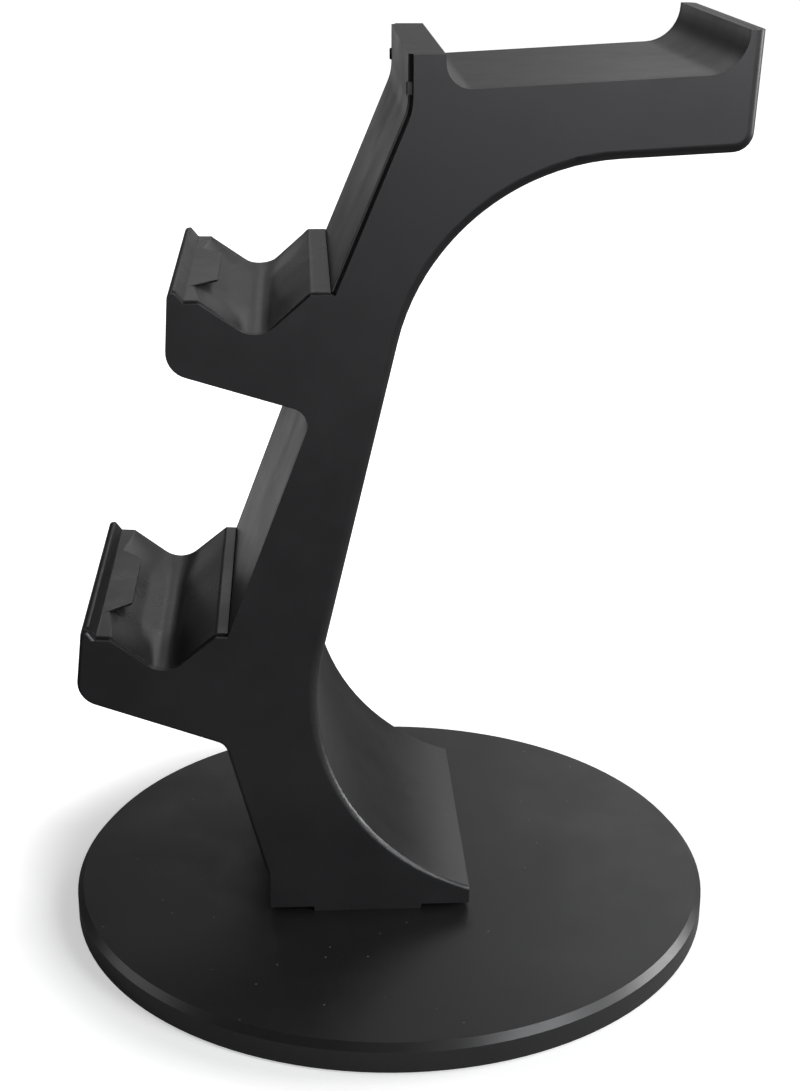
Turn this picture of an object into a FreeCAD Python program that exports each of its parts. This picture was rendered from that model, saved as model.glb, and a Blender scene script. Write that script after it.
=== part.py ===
import FreeCAD, Part
import math
import os

# Game controller stand: a hollow moulded stem on a round base, with two cradles
# for controllers on its front and a tray for a headset on its arm.
# Lengths are millimetres and angles are degrees. The origin is the centre of the
# base on the surface it stands on, X runs along the arm, Y across the stand, Z up.

# Round base
base_diameter = 190.0
base_height = 8.2
base_skin = 2.4
rim_wall = 2.4
rim_bevel_width = 1.7
rim_bevel_drop = 2.0
rib_thickness = 1.4
rib_clear_of_floor = 0.8
ring_ribs = 5
radial_ribs = 18

# Rubber feet under the base
foot_count = 6
foot_diameter = 14.0
foot_inset = 17.0
foot_proud = 0.8
foot_chamfer = 0.4
foot_seat_depth = 1.4
foot_seat_wall = 1.6

# Whole stem
stand_width = 90.0
stand_shift_back = 17.0
wall = 2.2
insert_wall = 1.8
insert_gap = 0.15
lip_wall = 1.4
outer_edge_radius = 2.8
foot_edge_radius = 1.1
front_edge_radius = 1.0
web_thickness = 1.6
arm_webs = 4
web_pitch = 22.0
stem_webs = 10
cradle_webs = 2
overshoot = 8.0
tolerance = 1e-4

# Headset arm
tray_rise = 51.2
cap_set_back = 20.9
cap_length = 8.2
cap_rise = 8.8
tray_left_radius = 6.5
tray_right_radius = 10.5
arm_tilt = 3.1
arm_depth = 19.9
arm_reach = 92.6
rim_rise = 14.7
rim_thickness = 4.1
arm_end_lean = 2.4
arm_end_radius = 5.5
arm_bend_radius = 62.0

# Stem and foot
stem_lean = 13.1
stem_back = -39.1
flare_radius = 64.0
flare_angle = 20.0
foot_back = 22.0
foot_tip_height = 6.7
foot_front = -36.2
foot_kink_height = 9.7
stem_front_lean = 14.8
foot_gap = 1.5
key_front = -23.5
key_back = 7.9
key_depth = 3.0
key_clearance = 0.2

# One cradle, measured from the rear top edge of its ridge, forwards and down
ridge_length = 5.5
trough_width = 29.1
trough_vertex_forward = 19.5
trough_vertex_depth = 11.5
trough_bottom_radius = 8.0
ledge_drop = 2.0
ledge_length = 3.8
lip_rise = 0.8
lip_slope_length = 2.3
lip_radius = 1.3
cradle_front = 43.9
cradle_wall_lean = 3.5
cradle_depth = 20.6
cradle_floor_angle = 17.2
cradle_corner_radius = 7.0
edge_reveal = 0.6
flare_drop = 1.5
flare_shares = (0.0, 0.3, 0.6, 0.85, 1.0)
ledge_least = 0.4

# Where the two cradles stand: the lower above the base, the upper above the lower
lower_ridge_x = -44.2
lower_ridge_height = 88.0
lower_cradle_tilt = 3.0
upper_ridge_rise = 96.2
upper_ridge_set_back = 27.4
upper_cradle_tilt = 0.0

# Retaining tongue of a cradle
tongue_reach = 8.0
tongue_root_half = 27.0
tongue_tip_half = 18.0
tongue_thickness = 1.2
tongue_corner = 2.5
tongue_root_length = 1.4
window_set_back = 1.5
window_length = 2.5
window_width = 20.0
window_depth = 9.0

# Front strips that close the stem
upper_strip_lean = 22.9
upper_strip_bend = 15.0
upper_strip_proud = 1.2
lower_strip_lean = 20.9
lower_strip_proud = 2.1
lower_junction_radius = 4.0
upper_junction_radius = 5.0
strip_edge_radius = 1.2
lug_height = 3.2
lug_proud = 0.5
lug_width = 1.4
lug_below_cap = 6.8
lug_edge_radius = 0.3

# Screws from beneath the base into posts in the foot of the stem
screw_diameter = 3.0
screw_length = 14.0
screw_head_diameter = 5.6
screw_head_height = 2.2
screw_head_radius = 0.9
screw_tip_length = 3.0
screw_tip_diameter = 0.8
recess_span = 3.2
recess_width = 0.6
recess_depth = 1.1
screw_hole_clearance = 0.4
head_hole_diameter = 6.6
screw_boss_wall = 2.8
post_diameter = 8.0
post_height = 12.5
post_front = -22.0
post_back = -4.0
post_half_spacing = 26.0

# Derived places
base_bottom = foot_proud
base_top = base_bottom + base_height
base_radius = base_diameter / 2
foot_ring_radius = base_radius - foot_inset
upper_ridge_height = lower_ridge_height + upper_ridge_rise
upper_ridge_x = lower_ridge_x + upper_ridge_set_back
tray_height = upper_ridge_height + tray_rise
cap_front = upper_ridge_x + cap_set_back
cap_height = tray_height + cap_rise
rim_height = tray_height + rim_rise
inner_width = stand_width - 2 * wall
insert_width = inner_width - 2 * insert_gap
rib_bottom = base_bottom + rib_clear_of_floor
head_seat = base_top - base_skin - rib_thickness
foot_seat_diameter = foot_diameter + 2 * key_clearance
foot_boss_diameter = foot_seat_diameter + 2 * foot_seat_wall


def point(x, z, y=0.0):
    return FreeCAD.Vector(x, y, z)


def direction(angle):
    """Unit vector in the side view, measured from +X towards +Z."""
    return point(math.cos(math.radians(angle)), math.sin(math.radians(angle)))


def meet(start_a, angle_a, start_b, angle_b):
    """Point where two lines in the side view cross."""
    along_a = direction(angle_a)
    along_b = direction(angle_b)
    gap = start_b - start_a
    turn = along_a.x * along_b.z - along_a.z * along_b.x
    reach = (gap.x * along_b.z - gap.z * along_b.x) / turn
    return start_a + along_a * reach


def corner_arc(before, corner, after, radius):
    """Start, middle and end of the arc that rounds one corner."""
    to_before = (before - corner).normalize()
    to_after = (after - corner).normalize()
    half_angle = to_before.getAngle(to_after) / 2
    tangent = radius / math.tan(half_angle)
    bisector = (to_before + to_after).normalize()
    centre = corner + bisector * (radius / math.sin(half_angle))
    return corner + to_before * tangent, centre - bisector * radius, corner + to_after * tangent


def rounded_path(stations, closed):
    """Edges through stations of (point, radius, via).

    A radius rounds the station's corner. Where via is a point, an arc through
    it leads to the station in place of a straight line.
    """
    count = len(stations)
    ends = []
    arcs = []
    for index, (here, radius, via) in enumerate(stations):
        inner = closed or 0 < index < count - 1
        if radius > 0 and inner:
            before = stations[index - 1][0]
            after = stations[(index + 1) % count][0]
            start, middle, end = corner_arc(before, here, after, radius)
            ends.append((start, end))
            arcs.append([Part.Arc(start, middle, end).toShape()])
        else:
            ends.append((here, here))
            arcs.append([])
    path = []
    for index in range(count):
        start = ends[index - 1][1]
        end = ends[index][0]
        via = stations[index][2]
        if index > 0 or closed:
            if via is not None:
                path.append(Part.Arc(start, via, end).toShape())
            elif start.distanceToPoint(end) > tolerance:
                path.append(Part.makeLine(start, end))
        path += arcs[index]
    return path


def outline(stations):
    return Part.Wire(rounded_path(stations, True))


def turned(origin, tilt, forward, drop):
    """Point of a cradle: forward of and below its ridge, turned by its tilt."""
    cosine = math.cos(math.radians(tilt))
    sine = math.sin(math.radians(tilt))
    return point(
        origin.x - forward * cosine - drop * sine,
        origin.z + forward * sine - drop * cosine,
    )


class Cradle:
    """Side view of one cradle, at its place on the stem."""

    def __init__(self, ridge_x, ridge_height, tilt, strip_foot, strip_lean):
        self.origin = point(ridge_x, ridge_height)
        self.tilt = tilt
        self.strip_foot = strip_foot
        self.strip_angle = 90.0 - strip_lean
        self.floor_angle = -cradle_floor_angle - tilt
        self.ridge_angle = -tilt
        self.corner = self.at(cradle_front, cradle_depth)

    def at(self, forward, drop):
        return turned(self.origin, self.tilt, forward, drop)

    def rear(self, drop, gap):
        """Point at a depth below the ridge, a gap in front of the strip."""
        shift = direction(self.strip_angle + 90.0) * gap
        return meet(self.at(0.0, drop), self.ridge_angle, self.strip_foot + shift, self.strip_angle)

    def top(self, reveal, deeper):
        """Stations of the top edge from the lip back to the ridge."""
        ledge_back = ridge_length + trough_width
        ledge_front = ledge_back + ledge_length
        lean = math.tan(math.radians(cradle_wall_lean))
        lip_front = cradle_front - (cradle_depth + lip_rise) * lean
        vertex = self.at(trough_vertex_forward, trough_vertex_depth + deeper)
        return [
            (self.at(lip_front, reveal - lip_rise), lip_radius, None),
            (self.at(ledge_front + lip_slope_length, reveal - lip_rise), lip_radius, None),
            (self.at(ledge_front, ledge_drop + reveal), 0.0, None),
            (self.at(ledge_back, ledge_drop + reveal), 0.0, None),
            (vertex, trough_bottom_radius, None),
            (self.at(ridge_length, reveal), 0.0, None),
        ]


upper = Cradle(
    upper_ridge_x, upper_ridge_height, upper_cradle_tilt,
    point(upper_ridge_x, upper_ridge_height), upper_strip_lean,
)
lower = Cradle(
    lower_ridge_x, lower_ridge_height, lower_cradle_tilt,
    point(lower_ridge_x - lower_strip_proud, lower_ridge_height), lower_strip_lean,
)


def stem_stations(reveal, deeper):
    """Side outline of the stem, from the cap clockwise to the front strip."""
    up = 90.0
    cap_back = cap_front + cap_length
    tray_start = point(cap_back, tray_height)
    rim_inner = point(arm_reach - rim_thickness, rim_height)
    rim_outer = point(arm_reach, rim_height)
    end_angle = up - arm_end_lean
    tray_corner = meet(tray_start, arm_tilt, rim_inner, end_angle)
    under_start = tray_start + direction(arm_tilt - up) * arm_depth
    end_corner = meet(under_start, arm_tilt, rim_outer, end_angle)
    stem_foot = point(stem_back, 0.0)
    bend = meet(under_start, arm_tilt, stem_foot, up - stem_lean)
    tip = point(foot_back, foot_tip_height)
    flare = meet(stem_foot, up - stem_lean, tip, -flare_angle)
    kink = point(foot_front, foot_kink_height)
    lower_floor = (lower.corner, lower.floor_angle)
    upper_floor = (upper.corner, upper.floor_angle)
    lower_joint = meet(*lower_floor, kink, up + stem_front_lean)
    lower_end = lower.rear(reveal, 0.0)
    upper_joint = meet(*upper_floor, lower.strip_foot, lower.strip_angle)
    seam_foot = upper.origin + point(upper_strip_proud / math.cos(math.radians(upper_strip_lean)), 0.0)
    upper_end = meet(upper.at(0.0, reveal), upper.ridge_angle, seam_foot, up - upper_strip_lean)
    bend_front = meet(seam_foot, up - upper_strip_lean, point(cap_front, 0.0), up)
    return [
        (point(cap_front, cap_height), 0.0, None),
        (point(cap_back, cap_height), 0.0, None),
        (tray_start, tray_left_radius, None),
        (tray_corner, tray_right_radius, None),
        (rim_inner, 0.0, None),
        (rim_outer, 0.0, None),
        (end_corner, arm_end_radius, None),
        (bend, arm_bend_radius, None),
        (flare, flare_radius, None),
        (tip, 0.0, None),
        (point(foot_back, foot_gap), 0.0, None),
        (point(foot_front, foot_gap), 0.0, None),
        (kink, 0.0, None),
        (lower_joint, lower_junction_radius, None),
        (lower.corner, cradle_corner_radius, None),
    ] + lower.top(reveal, deeper) + [
        (lower_end, 0.0, None),
        (upper_joint, upper_junction_radius, None),
        (upper.corner, cradle_corner_radius, None),
    ] + upper.top(reveal, deeper) + [
        (upper_end, 0.0, None),
        (bend_front, upper_strip_bend, None),
    ]


def slab(wire_or_face, width, centre=0.0):
    """Side-view shape made solid across the stand."""
    face = wire_or_face if wire_or_face.ShapeType == "Face" else Part.Face(wire_or_face)
    moved = face.translated(FreeCAD.Vector(0, centre - width / 2, 0))
    return moved.extrude(FreeCAD.Vector(0, width, 0))


def polygon(points, width, centre=0.0):
    return slab(Part.makePolygon(list(points) + [points[0]]), width, centre)


def box(x_low, x_high, y_low, y_high, z_low, z_high):
    return Part.makeBox(
        x_high - x_low, y_high - y_low, z_high - z_low, FreeCAD.Vector(x_low, y_low, z_low)
    )


def cylinder(x, y, z_low, z_high, diameter):
    return Part.makeCylinder(diameter / 2, z_high - z_low, FreeCAD.Vector(x, y, z_low))


def inset(stations, depth):
    """Face of a closed outline moved inwards by a depth."""
    return Part.Face(outline(stations)).makeOffset2D(-depth, 2, False, False, False)


def long_edges(solid, stations, width):
    """Edges of a slab's two side faces that follow a path of stations."""
    guide = Part.Compound(rounded_path(stations, False))
    found = []
    for edge in solid.Edges:
        bounds = edge.BoundBox
        if bounds.YLength > tolerance or abs(abs(bounds.Center.y) - width / 2) > tolerance:
            continue
        middle = edge.valueAt((edge.FirstParameter + edge.LastParameter) / 2)
        if guide.distToShape(Part.Vertex(middle.x, 0.0, middle.z))[0] < tolerance:
            found.append(edge)
    return found


# The openings in the stem that the inserts close, in the side view

def saddle_front(cradle, drop):
    """Place of the seam between the cradle's front wall and its insert."""
    lean = math.tan(math.radians(cradle_wall_lean))
    return cradle.at(cradle_front - lip_wall - (cradle_depth - drop) * lean, drop)


def saddle_opening(cradle):
    above = -overshoot
    below = insert_wall + 2 * edge_reveal
    return [
        saddle_front(cradle, above),
        saddle_front(cradle, ledge_drop + below),
        cradle.at(ridge_length + trough_width + ledge_length, ledge_drop + below),
        cradle.at(trough_vertex_forward, trough_vertex_depth + flare_drop + below),
        cradle.at(ridge_length, below),
        cradle.at(-insert_wall, below),
        cradle.at(-insert_wall, above),
    ]


def rest_opening():
    depth = wall + 2 * edge_reveal
    floor_start = point(cap_front, tray_height)
    floor_normal = direction(arm_tilt - 90)
    end_angle = 90.0 - arm_end_lean
    layer = insert_wall + insert_gap
    end_start = point(arm_reach - rim_thickness + layer, rim_height)
    low = floor_start + floor_normal * depth
    far_low = meet(low, arm_tilt, end_start, end_angle)
    far_high = end_start + direction(end_angle) * overshoot
    return [
        point(cap_front - overshoot, cap_height + overshoot),
        point(cap_front - overshoot, low.z),
        low,
        far_low,
        far_high,
    ]


def upper_strip_lines(inward):
    """Bottom, bend and top of the upper strip's line, moved into the stem."""
    seam = upper.origin + point(upper_strip_proud / math.cos(math.radians(upper_strip_lean)), 0.0)
    shift = point(inward / math.cos(math.radians(upper_strip_lean)), 0.0)
    angle = 90.0 - upper_strip_lean
    bottom = meet(seam + shift, angle, upper.at(0.0, insert_wall), upper.ridge_angle)
    bend = meet(seam + shift, angle, point(cap_front + inward, 0.0), 90.0)
    return bottom, bend, point(cap_front + inward, cap_height)


def lower_strip_lines(inward):
    """Bottom and top of the lower strip's line, moved into the stem."""
    foot = lower.strip_foot
    shift = point(inward / math.cos(math.radians(lower_strip_lean)), 0.0)
    angle = 90.0 - lower_strip_lean
    bottom = meet(foot + shift, angle, lower.at(0.0, insert_wall), lower.ridge_angle)
    joint = meet(foot, angle, upper.corner, upper.floor_angle)
    top = meet(foot + shift, angle, joint - direction(angle) * upper_junction_radius, angle - 90.0)
    return bottom, top


def strip_openings():
    depth = wall + edge_reveal
    front = upper_strip_lines(-overshoot)
    back = upper_strip_lines(depth)
    low_front = lower_strip_lines(-overshoot)
    low_back = lower_strip_lines(depth)
    return [
        [front[0], front[1], front[2], back[2], back[1], back[0]],
        [low_front[0], low_front[1], low_back[1], low_back[0]],
    ]


# The stem's own inner webs, in the side view

def web(start, angle, length):
    """Thin web that leaves a start point at an angle."""
    along = direction(angle) * length
    side = direction(angle + 90) * (web_thickness / 2)
    corners = [start - side, start + along - side, start + along + side, start + side]
    return polygon(corners, inner_width)


def webs():
    """Webs longer than the room inside the stem, which trims them."""
    found = []
    # Arm: upright webs between its underside and the tray
    arm_start = cap_front + cap_length
    pitch = (arm_reach - arm_start) / arm_webs
    for place in range(arm_webs):
        start = point(arm_start + (place + 0.5) * pitch, tray_height - 2 * arm_depth)
        found.append(web(start, 90 + arm_tilt, 3 * arm_depth))
    # Stem: level webs from the foot up to the arm
    for place in range(stem_webs):
        start = point(-stand_width, post_height + place * web_pitch)
        found.append(web(start, 0.0, 2 * stand_width))
    # Cradles: upright webs under the saddles
    for cradle in (upper, lower):
        for place in range(1, cradle_webs + 1):
            forward = place * cradle_front / (cradle_webs + 1)
            start = cradle.at(forward, cradle_depth + cradle_front)
            found.append(web(start, 90 - cradle.tilt, 2 * cradle_front))
    return found


def make_stem_shell():
    stations = stem_stations(edge_reveal, flare_drop)
    body = slab(outline(stations), stand_width)
    # The round at the back edges narrows along the flare. Above the flare it
    # runs on at its full size, up the back and round the arm.
    flare_edges = [
        edge for edge in long_edges(body, stations[7:10], stand_width)
        if edge.Curve.TypeId != "Part::GeomLine"
    ]
    body = body.makeFillet(outer_edge_radius, foot_edge_radius, flare_edges)
    front_edges = long_edges(body, stations[12:16], stand_width)
    body = body.makeFillet(front_edge_radius, front_edges)
    hollow = slab(inset(stations, wall), inner_width)
    openings = [polygon(saddle_opening(cradle), inner_width) for cradle in (upper, lower)]
    openings.append(polygon(rest_opening(), inner_width))
    openings += [polygon(corners, inner_width) for corners in strip_openings()]
    foot_opening = box(
        foot_front + wall, foot_back - wall, -inner_width / 2, inner_width / 2,
        0.0, foot_gap + wall + insert_gap,
    )
    shell = body.cut([hollow, foot_opening] + openings)
    room = slab(inset(stem_stations(0.0, flare_drop + insert_wall), insert_wall), inner_width)
    ribs = [rib.common(room) for rib in webs()]
    keys = []
    for side in (-1, 1):
        near = side * stand_width / 2
        far = side * inner_width / 2
        keys.append(box(key_front, key_back, min(near, far), max(near, far), -key_depth, foot_gap + wall))
    posts = [cylinder(x, y, 0.0, post_height, post_diameter) for x, y in screw_places()]
    shell = shell.fuse(ribs + keys + posts)
    pilots = [cylinder(x, y, 0.0, post_height - wall, screw_diameter) for x, y in screw_places()]
    return shell.cut(pilots).removeSplitter()


def screw_places():
    return [(x, y) for x in (post_front, post_back) for y in (-post_half_spacing, post_half_spacing)]


# The inserts that close the stem

def saddle_section(cradle, y, share):
    """Section of a saddle, from its middle at share 0 to its belled end at share 1."""
    ledge_front = ridge_length + trough_width + ledge_length
    ledge_back = ledge_front - ledge_least - share * (ledge_length - ledge_least)
    deeper = flare_drop * share * share
    below = ledge_drop + insert_wall
    vertex = trough_vertex_depth + deeper
    stations = [
        (saddle_front(cradle, below), 0.0, None),
        (saddle_front(cradle, -lip_rise), 0.0, None),
        (cradle.at(ledge_front + lip_slope_length, -lip_rise), lip_radius / 2, None),
        (cradle.at(ledge_front, ledge_drop), 0.0, None),
        (cradle.at(ledge_back, ledge_drop), 0.0, None),
        (cradle.at(trough_vertex_forward, vertex), trough_bottom_radius, None),
        (cradle.at(ridge_length, 0.0), 0.0, None),
        (cradle.rear(0.0, insert_gap), 0.0, None),
        (cradle.rear(insert_wall, insert_gap), 0.0, None),
        (cradle.at(ridge_length, insert_wall), 0.0, None),
        (cradle.at(trough_vertex_forward, vertex + insert_wall), trough_bottom_radius, None),
        (cradle.at(ledge_back, below), 0.0, None),
    ]
    return outline(stations).translated(FreeCAD.Vector(0, y, 0))


def make_saddle(cradle):
    """Moulded trough with a rear ridge, a front lip, a tongue and belled ends."""
    half = insert_width / 2
    bell = half - tongue_root_half
    middle = slab(saddle_section(cradle, 0.0, 0.0), 2 * tongue_root_half)
    pieces = []
    for side in (-1, 1):
        sections = []
        for share in flare_shares:
            sections.append(saddle_section(cradle, side * (tongue_root_half + share * bell), share))
        pieces.append(Part.makeLoft(sections, True, False))
    saddle = middle.fuse(pieces)
    # Window beneath the tongue's tip, which the mould needs to form its underside
    near = ridge_length + trough_width + ledge_length - tongue_reach + window_set_back
    window = [
        cradle.at(near, ledge_drop),
        cradle.at(near + window_length, ledge_drop),
        cradle.at(near + window_length, ledge_drop + window_depth),
        cradle.at(near, ledge_drop + window_depth),
    ]
    saddle = saddle.cut(polygon(window, window_width))
    return saddle.fuse(tongue_plate(cradle)).removeSplitter()


def tongue_plate(cradle):
    """Tapered plate that reaches over the trough from the lip."""
    lip = ridge_length + trough_width + ledge_length
    root = lip + tongue_root_length
    tip = lip - tongue_reach
    # Plan of the tongue, drawn upright, laid flat and then set on the cradle
    plan = [
        (point(-root, -tongue_root_half), 0.0, None),
        (point(-lip, -tongue_root_half), 0.0, None),
        (point(-tip, -tongue_tip_half), tongue_corner, None),
        (point(-tip, tongue_tip_half), tongue_corner, None),
        (point(-lip, tongue_root_half), 0.0, None),
        (point(-root, tongue_root_half), 0.0, None),
    ]
    plate = Part.Face(outline(plan)).extrude(FreeCAD.Vector(0, tongue_thickness, 0))
    plate.rotate(FreeCAD.Vector(0, 0, 0), FreeCAD.Vector(1, 0, 0), 90)
    plate.translate(FreeCAD.Vector(0, 0, -ledge_drop - tongue_thickness))
    plate.rotate(FreeCAD.Vector(0, 0, 0), FreeCAD.Vector(0, 1, 0), cradle.tilt)
    return plate.translated(cradle.origin)


def make_headset_rest():
    """Cap, tray floor and inner end wall in one curved panel."""
    stations = stem_stations(0.0, 0.0)
    band = slab(outline(stations), insert_width).cut(slab(inset(stations, insert_wall), insert_width))
    layer = point(arm_reach - rim_thickness + insert_wall, rim_height)
    end_angle = 90.0 - arm_end_lean
    floor_low = point(cap_front, tray_height) + direction(arm_tilt - 90) * (insert_wall + edge_reveal)
    left = cap_front + insert_wall + insert_gap
    under_cap = cap_height - insert_wall - insert_gap
    cap_back = cap_front + cap_length
    zone = [
        point(cap_back + overshoot, cap_height + overshoot),
        point(cap_back + overshoot, under_cap),
        point(left, under_cap),
        meet(point(left, 0), 90.0, floor_low, arm_tilt),
        meet(floor_low, arm_tilt, layer, end_angle),
        layer + direction(end_angle) * overshoot,
    ]
    return band.common(polygon(zone, insert_width)).removeSplitter()


def make_upper_strip():
    """Front strip from the upper saddle to the cap, proud of the side walls."""
    out_low, out_bend, out_top = upper_strip_lines(-upper_strip_proud)
    in_low, in_bend, in_top = upper_strip_lines(insert_wall)
    front_line = [
        (out_low, 0.0, None),
        (out_bend, upper_strip_bend - upper_strip_proud, None),
        (out_top, 0.0, None),
    ]
    cap_back = cap_front + cap_length
    back_line = [
        (point(cap_back, cap_height), 0.0, None),
        (point(cap_back, cap_height - insert_wall), 0.0, None),
        (in_top - point(0.0, insert_wall), 0.0, None),
        (in_bend, upper_strip_bend + insert_wall, None),
        (in_low, 0.0, None),
    ]
    strip = slab(outline(front_line + back_line), insert_width)
    strip = strip.makeFillet(strip_edge_radius, long_edges(strip, front_line, insert_width))
    lugs = []
    top = cap_height - lug_below_cap
    front = cap_front - upper_strip_proud
    for side in (-1, 1):
        outer = side * insert_width / 2
        inner = outer - side * lug_width
        lug = box(
            front - lug_proud, front + upper_strip_proud, min(outer, inner), max(outer, inner),
            top - lug_height, top,
        )
        face = [edge for edge in lug.Edges if edge.BoundBox.XMax < front - lug_proud + tolerance]
        lugs.append(lug.makeFillet(lug_edge_radius, face))
    return strip.fuse(lugs).removeSplitter()


def make_lower_strip():
    """Flat front strip from the lower saddle to the upper cradle."""
    out_low, out_top = lower_strip_lines(0.0)
    in_low, in_top = lower_strip_lines(insert_wall)
    gap = direction(90.0 - lower_strip_lean) * insert_gap
    return polygon([out_low + gap, out_top - gap, in_top - gap, in_low + gap], insert_width)


# The base and what holds the stem to it

def make_base():
    """Round disc with a bevelled rim, hollow and ribbed beneath."""
    section = [
        point(0, base_bottom),
        point(base_radius, base_bottom),
        point(base_radius, base_top - rim_bevel_drop),
        point(base_radius - rim_bevel_width, base_top),
        point(0, base_top),
    ]
    disc = Part.Face(Part.makePolygon(section + [section[0]]))
    disc = disc.revolve(FreeCAD.Vector(0, 0, 0), FreeCAD.Vector(0, 0, 1), 360)
    inner_radius = base_radius - rim_wall
    ceiling = base_top - base_skin
    hollow = cylinder(0, 0, base_bottom, ceiling, 2 * inner_radius)
    disc = disc.cut(hollow)
    ribs = []
    for ring in range(1, ring_ribs + 1):
        radius = ring * inner_radius / (ring_ribs + 1)
        outer = cylinder(0, 0, rib_bottom, ceiling, 2 * radius + rib_thickness)
        ribs.append(outer.cut(cylinder(0, 0, rib_bottom, ceiling, 2 * radius - rib_thickness)))
    first_ring = inner_radius / (ring_ribs + 1)
    for place in range(radial_ribs):
        rib = box(first_ring, inner_radius, -rib_thickness / 2, rib_thickness / 2, rib_bottom, ceiling)
        rib.rotate(FreeCAD.Vector(0, 0, 0), FreeCAD.Vector(0, 0, 1), (place + 0.5) * 360 / radial_ribs)
        ribs.append(rib)
    ribs += [cylinder(x, y, base_bottom, ceiling, foot_boss_diameter) for x, y in foot_places()]
    boss = head_hole_diameter + 2 * screw_boss_wall
    for x, y in screw_places():
        ribs.append(cylinder(x, y + stand_shift_back, rib_bottom, ceiling, boss))
    for low, high in key_sides():
        floor = base_top - key_depth - key_clearance - rib_thickness
        edge = rib_thickness + key_clearance
        ribs.append(box(key_front - edge, key_back + edge, low - edge, high + edge, floor, ceiling))
    disc = disc.fuse(ribs)
    cuts = [cylinder(x, y, base_bottom, base_bottom + foot_seat_depth, foot_seat_diameter)
            for x, y in foot_places()]
    for x, y in screw_places():
        y = y + stand_shift_back
        cuts.append(cylinder(x, y, base_bottom, head_seat, head_hole_diameter))
        cuts.append(cylinder(x, y, head_seat, base_top, screw_diameter + screw_hole_clearance))
    for low, high in key_sides():
        cuts.append(box(
            key_front - key_clearance, key_back + key_clearance, low - key_clearance, high + key_clearance,
            base_top - key_depth - key_clearance, base_top,
        ))
    return disc.cut(cuts).removeSplitter()


def key_sides():
    """Near and far edge of each locating key, across the stand."""
    half = stand_width / 2
    return [(side * half + stand_shift_back - (wall if side > 0 else 0),
             side * half + stand_shift_back + (0 if side > 0 else wall)) for side in (-1, 1)]


def foot_places():
    angles = [math.radians((place + 0.5) * 360 / foot_count) for place in range(foot_count)]
    return [(foot_ring_radius * math.cos(angle), foot_ring_radius * math.sin(angle)) for angle in angles]


def make_foot(x, y):
    """Round rubber foot with an eased lower edge."""
    foot = cylinder(x, y, 0.0, foot_proud + foot_seat_depth, foot_diameter)
    return foot.makeChamfer(foot_chamfer, lowest_edges(foot))


def lowest_edges(solid):
    low = solid.BoundBox.ZMin
    return [edge for edge in solid.Edges if edge.BoundBox.ZMax < low + tolerance]


def make_screw(x, y):
    """Self-tapping pan head screw with a cross recess."""
    bottom = head_seat - screw_head_height
    shank_top = head_seat + screw_length - screw_tip_length
    head = cylinder(x, y, bottom, head_seat, screw_head_diameter)
    head = head.makeFillet(screw_head_radius, lowest_edges(head))
    shank = cylinder(x, y, head_seat, shank_top, screw_diameter)
    tip = Part.makeCone(
        screw_diameter / 2, screw_tip_diameter / 2, screw_tip_length, FreeCAD.Vector(x, y, shank_top)
    )
    long = recess_span / 2
    half = recess_width / 2
    cross = box(x - long, x + long, y - half, y + half, bottom, bottom + recess_depth)
    cross = cross.fuse(box(x - half, x + half, y - long, y + long, bottom, bottom + recess_depth))
    return head.fuse([shank, tip]).removeSplitter().cut(cross)


def on_base(shape):
    """Move a shape of the stem onto the base."""
    return shape.translated(FreeCAD.Vector(0, stand_shift_back, base_top))


def make_parts():
    parts = {
        "base_disc": make_base(),
        "stem_shell": on_base(make_stem_shell()),
        "headset_rest": on_base(make_headset_rest()),
        "upper_front_strip": on_base(make_upper_strip()),
        "lower_front_strip": on_base(make_lower_strip()),
        "upper_saddle": on_base(make_saddle(upper)),
        "lower_saddle": on_base(make_saddle(lower)),
        "base_screws": Part.makeCompound(
            [make_screw(x, y + stand_shift_back) for x, y in screw_places()]
        ),
    }
    for number, (x, y) in enumerate(foot_places(), start=1):
        parts["rubber_foot_%d" % number] = make_foot(x, y)
    return parts


os.makedirs("parts", exist_ok=True)
for name, shape in make_parts().items():
    shape.exportStep("parts/%s.step" % name)
    print(name, shape.ShapeType, len(shape.Solids), round(shape.Volume), shape.isValid())
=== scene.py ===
import math

import bmesh
import bpy
from bpy.props import FloatProperty, FloatVectorProperty, IntProperty, PointerProperty
from mathutils import Matrix, Vector


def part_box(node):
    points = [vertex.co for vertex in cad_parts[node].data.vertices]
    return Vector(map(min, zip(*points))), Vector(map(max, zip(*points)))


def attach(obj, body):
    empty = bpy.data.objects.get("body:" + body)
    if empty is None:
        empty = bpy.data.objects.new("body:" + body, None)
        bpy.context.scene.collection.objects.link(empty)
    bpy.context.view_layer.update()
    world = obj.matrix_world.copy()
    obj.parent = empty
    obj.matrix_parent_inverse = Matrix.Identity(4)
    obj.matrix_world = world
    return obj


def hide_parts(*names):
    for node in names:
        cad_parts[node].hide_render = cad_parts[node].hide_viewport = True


bl_info = {
    "name": "Controller stand",
    "version": (1, 0, 0),
    "blender": (4, 5, 0),
    "location": "View3D > Sidebar > Stand",
    "description": "Dresses a desk stand for two game controllers and a headset",
    "category": "Object",
}

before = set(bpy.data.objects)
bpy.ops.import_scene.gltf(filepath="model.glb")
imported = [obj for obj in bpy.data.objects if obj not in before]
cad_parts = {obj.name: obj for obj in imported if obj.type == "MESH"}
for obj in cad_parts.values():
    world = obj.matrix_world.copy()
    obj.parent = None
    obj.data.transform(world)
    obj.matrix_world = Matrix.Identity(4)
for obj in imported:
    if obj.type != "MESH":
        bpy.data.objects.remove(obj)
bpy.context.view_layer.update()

MM = 0.001


def linear(hex_colour):
    """An sRGB hex colour as linear RGBA."""
    channels = [int(hex_colour[at:at + 2], 16) / 255 for at in (1, 3, 5)]
    return [c / 12.92 if c <= 0.04045 else ((c + 0.055) / 1.055) ** 2.4 for c in channels] + [1.0]


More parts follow.
